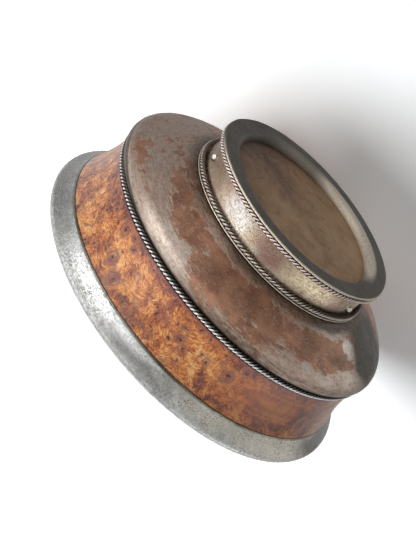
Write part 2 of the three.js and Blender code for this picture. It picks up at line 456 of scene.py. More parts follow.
SMALL_EYES = Eyes(0.9, 0.40, 0.24, (
    (-34.5, 38.2), (-41.0, 38.2), (-43.0, 34.3), (-48.5, 32.2), (-45.5, 35.8), (-52.5, 39.0),
    (-57.5, 38.7), (-62.5, 35.8), (-51.5, 45.0), (-83.0, 45.4), (-91.0, 34.0), (-92.5, 39.2),
    (-92.0, 28.6), (-102.5, 35.3), (-101.0, 29.8), (-74.0, 29.9), (-38.5, 33.5), (-54.5, 43.2),
    (-88.0, 41.5), (-109.0, 31.5), (-99.0, 41.8), (-71.5, 34.5), (-30.0, 31.0), (-26.0, 42.0),
    (4.0, 30.5), (18.0, 44.0), (27.0, 41.0), (38.0, 34.0), (50.0, 43.0), (66.0, 37.0),
    (79.0, 42.5), (99.0, 33.5), (108.0, 36.0), (122.0, 43.0), (134.0, 35.0), (146.0, 37.0),
    (156.0, 32.5), (172.0, 43.0), (-176.0, 40.0), (-160.0, 31.5),
))
CALM_FIGURE = (Patch(-136.0, 36.0, 32.0, 13.0, 1.0),)
DARK_FIGURES = (
    Patch(-117.0, 44.5, 5.0, 3.0, 0.8), Patch(-151.0, 37.5, 9.0, 7.0, 0.7),
    Patch(-70.5, 45.5, 10.0, 3.5, 0.6), Patch(-54.0, 29.5, 16.0, 3.0, 0.8),
    Patch(-37.0, 33.0, 9.0, 4.0, 0.5), Patch(-86.0, 42.0, 6.0, 4.0, 0.5),
    Patch(64.0, 30.5, 18.0, 4.0, 0.7), Patch(130.0, 44.0, 12.0, 4.0, 0.6),
    Patch(-103.0, 37.0, 18.0, 10.0, -0.4),
)


@dataclass(frozen=True)
class BurlVarnish:
    """Polished burl: golden curls, red-brown clouds, violet eyes with rings round them, and painted
    shade along the wire and the rim seam.
    """

    cream: str = "f0c28e"
    gold: str = "de9a5c"
    amber: str = "c67a44"
    russet: str = "a25a3a"
    umber: str = "703f33"
    violet: str = "76484a"
    bark: str = "472a29"
    eye: str = "1f1215"
    middle_radius: float = 58.0
    waist: float = 28.0
    seam: float = 45.5

    def unrolled(self, g: Graph, where: Socket) -> Socket:
        """Lays the belt out flat: the way round in millimetres, and the height.

        Args:
            g: The finish's nodes.
            where: Place on the belt, moved by noise.

        Returns:
            The flat place, moved as much.
        """
        shift = g.vector("SUBTRACT", where, g.place)
        flat = g.joined(g.times(g.turn, self.middle_radius), g.height)
        return g.vector("MULTIPLY", g.vector("ADD", flat, shift), (1.0, 1.0, 0.0))

    def nearest(self, g: Graph, eyes: Eyes, spread: Socket) -> Socket:
        """Measures how far a place on the belt is from the nearest eye.

        Args:
            g: The finish's nodes.
            eyes: The eyes.
            spread: Place on the belt laid flat.

        Returns:
            The distance in reaches of the eye.
        """
        least: Value = 10.0
        for azimuth, height in eyes.places:
            turned = math.radians((azimuth + 270) % 360 - 180)
            away = g.measured("DISTANCE", spread, (turned * self.middle_radius, height, 0.0))
            least = g.math("MINIMUM", least, away)
        return g.times(least, 1 / eyes.reach)

    def knotted(self, g: Graph, colour: Value, eyes: Eyes, spread: Socket) -> Value:
        """Draws the eyes of one size, each a dark pupil in a clouded, ringed patch.

        Args:
            g: The finish's nodes.
            colour: Colour of the wood without them.
            eyes: The eyes.
            spread: Place on the belt laid flat.

        Returns:
            The colour with them.
        """
        away = self.nearest(g, eyes, spread)
        cloud = g.times(g.ease(away, 0.70, 1.08, 0.95, 0.0),
                        g.plus(0.50, g.times(g.bell(away, 0.80, 0.34), 0.50)))
        waves = g.math("PINGPONG", g.times(away, eyes.reach / eyes.spacing), 0.5)
        rings = g.times(g.ease(waves, 0.16, 0.44), g.bell(away, 0.80, 0.42), 0.62)
        rim = g.times(g.bell(away, 1.15, 0.28), 0.30)
        core = eyes.pupil / eyes.reach
        pupil = g.ease(away, core * 0.6, core * 1.8, 0.95, 0.0)
        return g.coats(colour, (cloud, self.violet), (rings, self.gold), (rim, self.gold),
                       (pupil, self.eye))

    def figure(self, g: Graph, bent: Socket, calm: Value) -> Value:
        """Gives the tone of the figure without its eyes.

        Args:
            g: The finish's nodes.
            bent: Place moved by noise.
            calm: One in the calm oval, zero where the burl is lively.

        Returns:
            The tone, from dark to pale.
        """
        swept = g.drifted(g.drifted(g.place, 0.085, 11.0), 0.42, 1.5)
        strands = g.noise(g.vector("MULTIPLY", swept, (0.42, 0.42, 1.9)), 1.0, 4.0, 0.62)
        fibre = g.noise(g.vector("MULTIPLY", swept, (0.8, 0.8, 3.4)), 1.0, 4.0, 0.70)
        curl = g.noise(bent, 0.75, 4.0, 0.62, 1.6)
        cloud = g.noise(bent, 0.15, 4.0, 0.58, 0.5)
        tone = g.plus(g.swing(cloud, 1.05), g.swing(strands, 0.90), g.swing(curl, 0.55),
                      g.swing(fibre, 0.85))
        tone = g.times(tone, g.minus(1.0, g.times(calm, 0.80)))
        arcs = g.math("PINGPONG", g.times(calm, 5.5), 0.5)
        tone = g.plus(tone, g.times(arcs, calm, 0.14), 0.52)
        return g.minus(tone, g.times(calm, 0.09))

    def darkened(self, g: Graph, colour: Value, bent: Socket, calm: Value) -> Value:
        """Adds violet clouds, and painted shade along the wire and the rim mount.

        Args:
            g: The finish's nodes.
            colour: Colour of the clean wood.
            bent: Place moved by noise.
            calm: One in the calm oval, zero where the burl is lively.

        Returns:
            The darkened colour.
        """
        dusk = g.ease(g.noise(bent, 0.20, 4.0), 0.54, 0.64, 0.0, 0.55)
        dusk = g.times(dusk, g.minus(1.0, g.times(calm, 0.8)))
        # Painted shade: the belt darkens towards the wire at its waist.
        wire_shade = g.ease(g.height, self.waist, self.waist + 3.2, 0.55, 0.0)
        # The two bark lines are painted shade where the belt meets the rim mount and the wire.
        return g.coats(
            colour, (g.math("MAXIMUM", dusk, wire_shade), self.violet),
            (g.ease(g.height, self.seam, self.seam + 0.6, 0.0, 0.75), self.bark),
            (g.ease(g.height, self.waist, self.waist + 0.7, 0.8, 0.0), self.bark))

    def build(self) -> bpy.types.Material:
        """Makes the varnished wood of the belt.

        Returns:
            The material.
        """
        g = Graph("burl_varnish")
        bent = g.drifted(g.drifted(g.place, 0.12, 4.0), 0.55, 0.8)
        calm = g.patched(g.place, CALM_FIGURE, Across.HEIGHT)
        # Painted shade darkens the belt towards the wire; the dark figures added to it are the
        # wood's own.
        shade = g.plus(g.ease(g.height, self.waist, self.waist + 5.0, 0.10, 0.0),
                       g.times(g.patched(bent, DARK_FIGURES, Across.HEIGHT), 0.16))
        colour: Value = g.ramp(
            g.minus(self.figure(g, bent, calm), shade), (0.20, self.bark), (0.34, self.umber),
            (0.44, self.russet), (0.54, self.amber), (0.66, self.gold), (0.84, self.cream))
        spread = self.unrolled(g, g.drifted(g.drifted(g.place, 0.38, 1.3), 1.3, 0.38))
        for eyes in (BIG_EYES, MIDDLE_EYES, SMALL_EYES):
            colour = self.knotted(g, colour, eyes, spread)
        colour = self.darkened(g, colour, bent, calm)
        fibre = g.noise(bent, 4.2, 3.0, 0.7)
        normal = g.relief((g.noise(g.place, 0.30, 3.0), 0.10), (fibre, 0.014))
        return g.dress(colour, g.ease(fibre, 0.3, 0.7, 0.26, 0.36), normal, 0.0,
                       Coat_Weight=0.15, Coat_Roughness=0.16)


@dataclass(frozen=True)
class BareWood:
    """The floor of the foot recess: dull, oiled wood with a soft figure and painted shade."""

    pale: str = "d0a981"
    light: str = "b08862"
    middle: str = "8f6c52"
    dark: str = "5f4738"
    # Painted shade at the recess's edge: under the flange's roll at the far side, and along the
    # near side.
    dimmed: tuple[Patch, ...] = (
        Patch(25.0, 31.0, 75.0, 8.0, 0.8), Patch(-80.0, 31.0, 75.0, 5.0, 0.5),
    )

    def build(self) -> bpy.types.Material:
        """Makes the unvarnished wood.

        Returns:
            The material.
        """
        g = Graph("bare_wood")
        bent = g.drifted(g.drifted(g.place, 0.07, 7.0), 0.35, 1.2)
        figure = g.noise(bent, 0.13, 5.0, 0.6, 1.2)
        smoke = g.noise(g.place, 0.045, 2.0)
        grain = g.noise(bent, 1.2, 4.0, 0.65)
        # The last term of the tone is painted light and shade: lighter towards -X, darker towards
        # +X.
        tone = g.plus(g.times(figure, 0.40), g.times(grain, 0.16), g.times(smoke, 0.44),
                      g.ease(g.x, -10.0, 28.0, 0.13, -0.12))
        streak = g.bell(g.noise(bent, 0.20, 3.0, 0.5, 1.6), 0.47, 0.018)
        colour = g.ramp(g.minus(tone, g.times(streak, 0.12)), (0.34, self.dark),
                        (0.45, self.middle), (0.55, self.light), (0.70, self.pale))
        # Painted shade: darker towards the edge of the recess and in the patches of painted shade
        # under the flange.
        edge = g.plus(g.ease(g.radius, 24.0, 29.6, 0.0, 0.15),
                      g.patched(g.place, self.dimmed, Across.RADIUS))
        return g.dress(g.mix(edge, colour, self.dark), g.ease(figure, 0.3, 0.7, 0.62, 0.48),
                       g.relief((grain, 0.03)), 0.0)


@dataclass(frozen=True)
class Tint:
    """A patch of one colour on a silver piece, with ragged or crisp edges; some are stains, others
    painted highlights and painted shade.
    """

    colour: str
    patches: tuple[Patch, ...]
    ragged: bool = True
    across: Across = Across.HEIGHT


@dataclass(frozen=True)
class OldSilver:
    """Old silver sheet: hazy, scratched, pitted, brushed, with stains in places, and with painted
    highlights and painted shade in places.
    """

    name: str
    bright: str
    middle: str
    dull: str
    tints: tuple[Tint, ...] = ()
    polish: float = 0.27
    scratches: float = 0.5
    pits: float = 0.5
    dents: float = 0.20
    edge: tuple[float, float, str] | None = None
    metal: float = 1.0
    pit: str = "4f4a42"
    brushed: float = 0.0

    def pitted(self, g: Graph) -> Socket:
        """Draws clusters of small dark pits.

        Args:
            g: The finish's nodes.

        Returns:
            How deep a place lies in a pit, up to the finish's own measure.
        """
        cells = g.add("TexVoronoi", named={"Vector": g.drifted(g.place, 1.2, 0.35),
                                           "Scale": 1.15}).outputs["Distance"]
        where = g.ease(g.noise(g.place, 0.11, 3.0, 0.6), 0.42, 0.58, 0.25, 1.0)
        fine = g.ease(g.noise(g.place, 1.3, 5.0, 0.75), 0.53, 0.64)
        holes = g.math("MAXIMUM", g.ease(cells, 0.14, 0.34, 1.0, 0.0), fine)
        return g.times(holes, where, self.pits)

    def tinted(self, g: Graph, bent: Socket, haze: Socket, cloud: Socket) -> Value:
        """Gives the colour of the sheet with its pale edge and its tints, which are stains, painted
        highlights and painted shade.

        Args:
            g: The finish's nodes.
            bent: Place moved by noise.
            haze: Wide noise of the tarnish.
            cloud: Closer noise of the tarnish.

        Returns:
            The colour, without pits and scratches.
        """
        tone = g.plus(g.times(haze, 0.65), g.times(cloud, 0.35))
        colour: Value = g.ramp(tone, (0.36, self.dull), (0.5, self.middle), (0.62, self.bright))
        # The pale edge, used on the flange, is partly rubbed bare and partly a painted highlight.
        if self.edge is not None:
            low, high, worn = self.edge
            ragged = g.plus(g.radius, g.times(cloud, 0.3))
            colour = g.mix(g.ease(ragged, low + 0.15, high + 0.15), colour, worn)
        for tint in self.tints:
            place = bent if tint.ragged else g.place
            colour = g.mix(g.patched(place, tint.patches, tint.across), colour, tint.colour)
        return colour

    def build(self) -> bpy.types.Material:
        """Makes the silver.

        Returns:
            The material.
        """
        g = Graph(self.name)
        bent = g.drifted(g.place, 0.12, 3.0)
        haze, cloud = g.noise(bent, 0.09, 4.0, 0.62), g.noise(bent, 0.50, 4.0, 0.65)
        fine = g.ring_noise(60.0, 4.6, 0.0, 3.0, 0.70)
        pits = self.pitted(g)
        marks = g.scratches(((26.0, 2.7, 0.0, 0.56), (24.0, 2.1, 9.0, 0.58),
                             (30.0, 2.3, -6.0, 0.58)), 4.0, 0.68)
        dark = g.times(marks, g.ease(cloud, 0.42, 0.60, 0.75, 0.15), self.scratches)
        colour = g.coats(
            self.tinted(g, bent, haze, cloud),
            (g.ease(fine, 0.44, 0.64, 0.0, self.brushed), self.pit),
            (g.times(pits, 0.8), self.pit), (dark, self.dull))
        cuts = g.math("MAXIMUM", pits, marks)
        roughness = g.plus(g.ease(haze, 0.3, 0.7, self.polish + 0.12, self.polish),
                           g.times(cuts, 0.12))
        normal = g.relief((g.noise(g.place, 0.11, 2.0), self.dents), (cloud, 0.02),
                          (fine, 0.06 * self.brushed), (g.minus(1.0, cuts), 0.045))
        return g.dress(colour, roughness, normal, self.metal)


COPPER_BARE = (
    Patch(-112.0, 47.0, 62.0, 9.0, -0.16), Patch(-75.0, 46.5, 34.0, 6.0, -0.12),
    Patch(-98.0, 54.5, 24.0, 5.5, -0.15), Patch(-141.0, 49.0, 26.0, 7.0, -0.14),
    Patch(-48.0, 44.5, 12.0, 4.0, -0.14), Patch(-30.0, 54.5, 8.0, 3.6, -0.20),
    Patch(-21.0, 43.0, 6.0, 2.5, -0.08), Patch(62.0, 49.0, 26.0, 8.0, -0.12),
    Patch(150.0, 46.0, 22.0, 6.0, -0.12),
)
PLATE_LEFT = (
    Patch(-66.0, 55.5, 17.0, 5.0, 0.22), Patch(-51.0, 52.0, 12.0, 4.5, 0.12),
    Patch(-37.0, 50.5, 14.0, 7.0, 0.10), Patch(-80.0, 47.5, 7.0, 2.2, 0.16),
    Patch(-135.0, 56.0, 18.0, 3.4, 0.26), Patch(-158.0, 54.5, 14.0, 4.5, 0.16),
    Patch(-122.0, 43.2, 12.0, 2.0, 0.22), Patch(-145.0, 42.0, 20.0, 2.6, 0.20),
    Patch(-108.0, 52.8, 5.0, 1.8, 0.20), Patch(-78.0, 41.8, 42.0, 3.2, 0.13),
    Patch(-160.0, 47.0, 7.0, 4.5, 0.34), Patch(-120.0, 50.0, 9.0, 2.4, 0.12),
    Patch(-10.0, 48.0, 34.0, 14.0, 0.10), Patch(100.0, 52.0, 40.0, 8.0, 0.12),
)
# Pale, whole plate; the patches near the ridge of the edge are partly a painted highlight.
PALE_PLATE_AND_HIGHLIGHT = (
    Patch(-68.0, 57.4, 17.0, 3.8, 0.5), Patch(-70.0, 53.5, 10.0, 2.6, 0.5),
    Patch(-140.0, 55.4, 12.0, 2.4, 0.40), Patch(-160.0, 55.0, 12.0, 3.5, 0.5),
    Patch(-160.0, 46.5, 7.0, 4.0, 1.0), Patch(-80.0, 47.4, 6.0, 1.8, 0.5),
    Patch(-108.0, 52.8, 4.5, 1.5, 0.5), Patch(-144.0, 42.0, 14.0, 2.0, 0.4),
    Patch(100.0, 55.0, 26.0, 4.0, 0.6),
)
# Dark patches on the casing: partly dirt, partly painted shade and dark reflection, most at the far
# end (azimuth 178).
DARK_CASING = (
    Patch(178.0, 50.0, 25.0, 18.0, 1.5), Patch(-12.0, 57.0, 20.0, 4.0, 0.35),
    Patch(-150.0, 39.5, 26.0, 4.0, 0.75), Patch(-100.0, 39.5, 30.0, 3.0, 0.5),
    Patch(-95.0, 48.0, 24.0, 8.0, 0.24), Patch(-152.0, 49.5, 9.0, 4.5, 0.50),
    Patch(-136.0, 47.0, 14.0, 6.0, 0.28), Patch(178.0, 47.0, 12.0, 14.0, 0.6),
)
# Painted shade along the casing's edge by the shoulder wire.
EDGE_SHADE = (Patch(-135.0, 58.8, 50.0, 2.0, 0.75), Patch(-80.0, 58.8, 50.0, 2.4, 0.5))
# Lets the painted shade in the fold reach lower at azimuth 12.
LOW_FOLD = (Patch(12.0, 58.3, 76.0, 9.0, 2.3),)


@dataclass(frozen=True)
class Wear:
    """The noises that draw the worn plate: its ground, its flakes, and how much is left."""

    bent: Socket
    speckle: Socket
    grit: Socket
    left: Value


@dataclass(frozen=True)
class WornPlate:
    """Silver plate rubbed through to copper, left in streaks and along the edges."""

    copper: str = "bd8c70"
    dark_copper: str = "996e5b"
    thin: str = "b09483"
    silver: str = "cbb8a9"
    pale: str = "f2e9df"
    # Dark tone used for dirt and for painted shade.
    grime_and_shade: str = "4a4238"
    shadow: str = "3f3a30"

    def wear(self, g: Graph) -> Wear:
        """Says how much plate is left, about one half where it is just gone.

        Args:
            g: The finish's nodes.

        Returns:
            The noises of the wear.
        """
        bent = g.drifted(g.drifted(g.place, 0.13, 3.4), 0.9, 0.9)
        speckle = g.noise(g.drifted(g.place, 0.8, 0.8), 0.8, 6.0, 0.76)
        grit = g.ring_noise(14.0, 1.4, 5.0, 6.0, 0.74, 0.4)
        streaks = g.ring_noise(15.0, 0.30, 3.0, 5.0, 0.62, 0.5)
        left = g.plus(
            g.times(streaks, 0.45), g.times(g.noise(bent, 0.12, 5.0, 0.62), 0.55),
            g.ease(g.radius, 55.6, 58.0, 0.012, 0.11),
            g.patched(bent, COPPER_BARE + PLATE_LEFT, Across.RADIUS),
            g.swing(speckle, 0.30), g.swing(grit, 0.56))
        return Wear(bent, speckle, grit, left)

    def bare(self, g: Graph, wear: Wear) -> Value:
        """Gives the colour of the copper, paler beside the plate.

        Args:
            g: The finish's nodes.
            wear: The noises of the wear.

        Returns:
            The colour.
        """
        cloud = g.ease(g.noise(wear.bent, 0.16, 4.0), 0.38, 0.62)
        return g.coats(self.dark_copper, (cloud, self.copper),
                       (g.ease(wear.left, 0.42, 0.51, 0.0, 0.45), self.thin))

    def plated(self, g: Graph, wear: Wear) -> Value:
        """Gives the colour of the plate that is left, palest where it is whole, and along the
        ridge, where the pale is partly a painted highlight.

        Args:
            g: The finish's nodes.
            wear: The noises of the wear.

        Returns:
            The colour.
        """
        grain = g.plus(g.times(wear.grit, 0.6), g.times(wear.speckle, 0.4))
        whole = g.times(g.patched(wear.bent, PALE_PLATE_AND_HIGHLIGHT, Across.RADIUS),
                        g.ease(wear.speckle, 0.38, 0.56, 0.35, 1.0))
        return g.coats(self.thin, (g.ease(grain, 0.42, 0.58, 0.0, 0.95), self.silver),
                       (whole, self.pale))

    def dimmed(self, g: Graph, colour: Value, wear: Wear) -> Value:
        """Lays dirt in strokes, dirt and painted shade in patches and by the collar, and painted
        shade along the edge and in the fold by the wire.

        Args:
            g: The finish's nodes.
            colour: Colour of the clean casing.
            wear: The noises of the wear.

        Returns:
            The colour with its dirt.
        """
        grit, speckle = wear.grit, wear.speckle
        strokes = g.ease(g.ring_noise(34.0, 1.7, -9.0, 5.0, 0.72), 0.56, 0.64, 0.0, 0.5)
        # Painted shade along the edge by the wire.
        edge = g.times(g.patched(g.place, EDGE_SHADE, Across.RADIUS),
                       g.ease(grit, 0.40, 0.60, 1.0, 0.6))
        # Darker towards the collar: painted shade with some dirt.
        collar = g.ease(g.plus(g.radius, g.times(grit, 4.0)), 39.0, 45.5, 0.8, 0.0)
        # Painted shade in the fold under the shoulder wire.
        level = g.plus(g.height, g.swing(speckle, 0.6),
                       g.patched(g.place, LOW_FOLD, Across.RADIUS))
        fold = g.times(g.ease(level, 24.1, 24.6), g.ease(speckle, 0.40, 0.60, 0.95, 0.75))
        patches = g.patched(wear.bent, DARK_CASING, Across.RADIUS)
        return g.coats(colour, (strokes, self.grime_and_shade), (patches, self.grime_and_shade), (edge, self.grime_and_shade),
                       (collar, self.grime_and_shade), (fold, self.shadow))

    def build(self) -> bpy.types.Material:
        """Makes the worn plate.

        Returns:
            The material.
        """
        g = Graph("worn_plate")
        wear = self.wear(g)
        plate = g.ease(wear.left, 0.505, 0.545)
        marks = g.scratches(((90.0, 3.4, 16.0, 0.54), (70.0, 2.6, -22.0, 0.58)), 3.0, 0.62)
        pits = g.times(g.ease(g.noise(g.place, 1.1, 5.0, 0.75), 0.57, 0.66), 0.55)
        flecks = g.times(g.ease(wear.grit, 0.54, 0.59), g.ease(wear.speckle, 0.50, 0.56, 0.0, 0.85))
        colour = g.coats(
            self.bare(g, wear), (plate, self.plated(g, wear)),
            (g.times(marks, g.ease(plate, 0.0, 1.0, 0.25, 0.35)), self.silver),
            (pits, self.dark_copper), (flecks, self.silver))
        roughness = g.plus(g.ease(plate, 0.0, 1.0, 0.36, 0.28), g.times(wear.speckle, 0.08))
        normal = g.relief((g.noise(g.place, 0.09, 2.0), 0.30),
                          (g.plus(g.times(plate, 0.5), wear.speckle), 0.06),
                          (g.plus(marks, wear.grit), 0.03))
        return g.dress(self.dimmed(g, colour, wear), roughness, normal, 1.0)


@dataclass(frozen=True)
class WireSilver:
    """Twisted wire: a painted highlight on the crowns of the strands' lit side, painted shade on
    their other side, and dark grooves that are painted shade and dirt.

    The side is the angle, up from outward, of the side given the painted highlight, and the share
    that comes after it is the part of the half width at which the groove's painted shade and dirt
    end.
    """

    name: str
    ring_radius: float
    ring_height: float
    width: float
    crown: str
    shade: str
    side: float
    groove_end: float
    metal: float = 0.25
    groove: str = "1c1613"

    def build(self) -> bpy.types.Material:
        """Makes the metal of one ring of wire.

        Returns:
            The material.
        """
        g = Graph(self.name)
        off = g.joined(g.minus(g.radius, self.ring_radius), g.minus(g.height, self.ring_height))
        half = self.width / 2
        # Painted shade and dirt in the grooves between the strands.
        crown = g.ease(g.measured("LENGTH", off), half * self.groove_end, half * (self.groove_end + 0.22))
        grime_and_shade = g.ease(g.noise(g.place, 0.4, 4.0), 0.35, 0.65, 0.75, 1.0)
        # Painted highlight on the given side, painted shade on the rest.
        facing = g.measured("DOT_PRODUCT", g.vector("NORMALIZE", off), compass(self.side))
        metal = g.mix(g.ease(facing, 0.55, 0.92), self.shade, self.crown)
        colour = g.mix(g.times(crown, grime_and_shade), self.groove, metal)
        return g.dress(colour, g.ease(crown, 0.0, 1.0, 0.6, 0.25),
                       g.relief((g.noise(g.place, 3.0, 3.0), 0.03)), self.metal)


# Modelling by operators


def clear_selection() -> None:
    """Leaves edit mode and deselects every object."""
    if bpy.context.object is not None and bpy.context.object.mode != "OBJECT":
        bpy.ops.object.mode_set(mode="OBJECT")
    bpy.ops.object.select_all(action="DESELECT")


@dataclass
class Section:
    """The section of a turned piece: a line of (radius, height) points in millimetres."""

    points: list[Point] = field(default_factory=list)

    def to(self, *points: Point) -> "Section":
        """Draws straight lines from point to point."""
        self.points.extend(points)
        return self

    def arc(self, centre: Point, half: Point, start: float, end: float, steps: int) -> "Section":
        """Draws an arc of an ellipse.

        Args:
            centre: Its centre.
            half: Its half axes, across and up.
            start: First angle in degrees, from the outward direction.
            end: Last angle.
            steps: Number of straight steps.

        Returns:
            The section, for a further call.
        """
        for step in range(steps + 1):
            angle = math.radians(start + (end - start) * step / steps)
            self.to((centre[0] + half[0] * math.cos(angle), centre[1] + half[1] * math.sin(angle)))
        return self

    def closed(self) -> "Section":
        """Draws a line back to the first point."""
        return self.to(self.points[0])


def cup_curve(radius: float, top: float, floor: float, fullness: float = 2.5,
              steps: int = 40) -> list[Point]:
    """Draws the bowl's inside as a superellipse from the rim to the centre.

    Args:
        radius: Radius at the rim.
        top: Height of the rim.
        floor: Height of the centre.
        fullness: Two for an ellipse, more for a fuller bowl.
        steps: Number of straight steps.

    Returns:
        The points.
    """
    points = []
    for step in range(steps + 1):
        angle = math.pi / 2 * step / steps
        across = 0.0 if step == steps else math.cos(angle) ** (2 / fullness)
        points.append((radius * across, top - (top - floor) * math.sin(angle) ** (2 / fullness)))
    return points


def turn(name: str, section: Section, steps: int = 180, sharp: float = 35.0) -> Piece:
    """Turns a section about the Z axis, as on a lathe.

    Args:
        name: Name of the piece.
        section: Its section, drawn anticlockwise.
        steps: Number of steps round the axis.
        sharp: Angle in degrees past which an edge shows as an edge.

    Returns:
        The turned piece, with its place in its mesh.
    """
    clear_selection()
    bpy.ops.mesh.primitive_plane_add(size=0.001, location=(0, 0, 0))
    piece = bpy.context.object
    piece.name = piece.data.name = name
    bpy.ops.object.mode_set(mode="EDIT")
    bpy.ops.mesh.select_all(action="SELECT")
    bpy.ops.mesh.merge(type="CENTER")
    radius, height = section.points[0]
    bpy.ops.transform.translate(value=(radius * MM, 0, height * MM))
    for here, there in zip(section.points, section.points[1:]):
        step = ((there[0] - here[0]) * MM, 0, (there[1] - here[1]) * MM)
        bpy.ops.mesh.extrude_region_move(TRANSFORM_OT_translate={"value": step})
    bpy.ops.mesh.select_all(action="SELECT")
    bpy.ops.mesh.spin(steps=steps, angle=WHOLE_TURN, center=(0, 0, 0), axis=(0, 0, 1))
    clean_mesh(threshold=2e-6)
    bpy.ops.object.shade_smooth_by_angle(angle=math.radians(sharp))
    return piece


def clean_mesh(threshold: float) -> None:
    """Merges doubles, points the faces outwards and leaves edit mode.

    Args:
        threshold: Distance in metres up to which points merge.
    """
    bpy.ops.mesh.select_all(action="SELECT")
    bpy.ops.mesh.remove_doubles(threshold=threshold)
    bpy.ops.mesh.normals_make_consistent(inside=False)
    bpy.ops.object.mode_set(mode="OBJECT")


# Sub-assemblies


@dataclass
class Component:
    """A piece of the bowl, named after its form and the CAD node that it stands for."""

    form: ClassVar[str]
    slot: ClassVar[str]
    node: str

    def section(self) -> Section:
        """Returns the section that the piece is turned from."""
        raise NotImplementedError

    def finish(self) -> Finish:
        """Returns what the piece is dressed in."""
        raise NotImplementedError

    def model(self) -> Piece:
        """Turns the piece from its section."""
        return turn(f"{self.node}_{self.form}", self.section())

    def build(self) -> Piece:
        """Models the piece, dresses it and gives it its place in the frame.

        Returns:
            The finished piece.
        """
        piece = self.model()
        piece.data.materials.clear()
        piece.data.materials.append(self.finish().build())
        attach(piece, "root")
        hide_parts(self.node)
        return piece


@dataclass
class WoodenBowl(Component):
    """The turned body: belt, groove for the shoulder wire, foot, recess and hollow."""

    form: ClassVar[str] = "body"
    slot: ClassVar[str] = "burl"
    node: str = "burl_bowl"
    recess: float = 3.0
    recess_rings: tuple[float, ...] = (0.0, 8.0, 16.0, 24.0, 30.4)
    underside: tuple[Point, ...] = (
        (30.4, 2.2), (31.4, 0.9), (34.4, 0.9), (34.4, 13.6), (39.0, 13.6), (54.4, 20.6),
        (56.6, 22.4), (57.3, 23.9),
    )
    groove: float = 55.5
    groove_foot: float = 24.6
    belt_foot: float = 28.1
    waist: float = 56.9
    seam: Point = (60.3, 45.9)
    lip: tuple[Point, ...] = ((59.4, 46.1), (61.9, 51.6), (60.6, 51.7))
    hollow: Point = (57.0, 11.0)
    hollow_top: float = 46.7

    def belt(self, steps: int = 24) -> list[Point]:
        """Draws the belt from the groove up to the rim mount.

        Args:
            steps: Number of straight steps.

        Returns:
            The points.
        """
        points = []
        for step in range(steps + 1):
            rise = step / steps
            points.append((self.waist + (self.seam[0] - self.waist) * rise ** 2.2,
                           self.belt_foot + (self.seam[1] - self.belt_foot) * rise))
        return points

    def section(self) -> Section:
        """Draws the body from the recess out, up the belt, and down into the hollow.

        Returns:
            The section.
        """
        section = Section([(radius, self.recess) for radius in self.recess_rings])
        section.to(*self.underside, (self.groove, self.groove_foot),
                   (self.groove, self.belt_foot - 0.5), (self.groove + 0.5, self.belt_foot - 0.1))
        section.to(*self.belt(), *self.lip)
        return section.to(*cup_curve(self.hollow[0], self.hollow_top, self.hollow[1]))

    def finish(self) -> Finish:
        """Returns the varnish of the belt."""
        return BurlVarnish()

    def build(self) -> Piece:
        """Builds the body, and gives the floor of its foot recess bare wood.

        Returns:
            The finished body.
        """
        piece = super().build()
        piece.data.materials.append(BareWood().build())
        for face in piece.data.polygons:
            centre = face.center / MM
            if centre.z < self.recess + 0.5 and centre.xy.length < self.recess_rings[-1] + 0.6:
                face.material_index = 1
        return piece


@dataclass
class Lining(Component):
    """The spun silver cup inside the bowl."""

    form: ClassVar[str] = "cup"
    slot: ClassVar[str] = "lining_silver"
    node: str = "silver_lining"
    radius: float = 56.1
    top: float = 46.7
    floor: float = 11.9
    sheet: float = 0.6

    def section(self) -> Section:
        """Draws the cup outside from its centre up, then inside from its rim down."""
        outer = cup_curve(self.radius + self.sheet, self.top, self.floor - self.sheet)
        return Section(outer[::-1] + cup_curve(self.radius, self.top, self.floor))

    def finish(self) -> Finish:
        """Returns soft, pale silver with few marks."""
        return OldSilver("lining_silver", "dcd9d3", "d0cdc6", "bebab2", pits=0.05, scratches=0.3,
                         polish=0.30, dents=0.10)


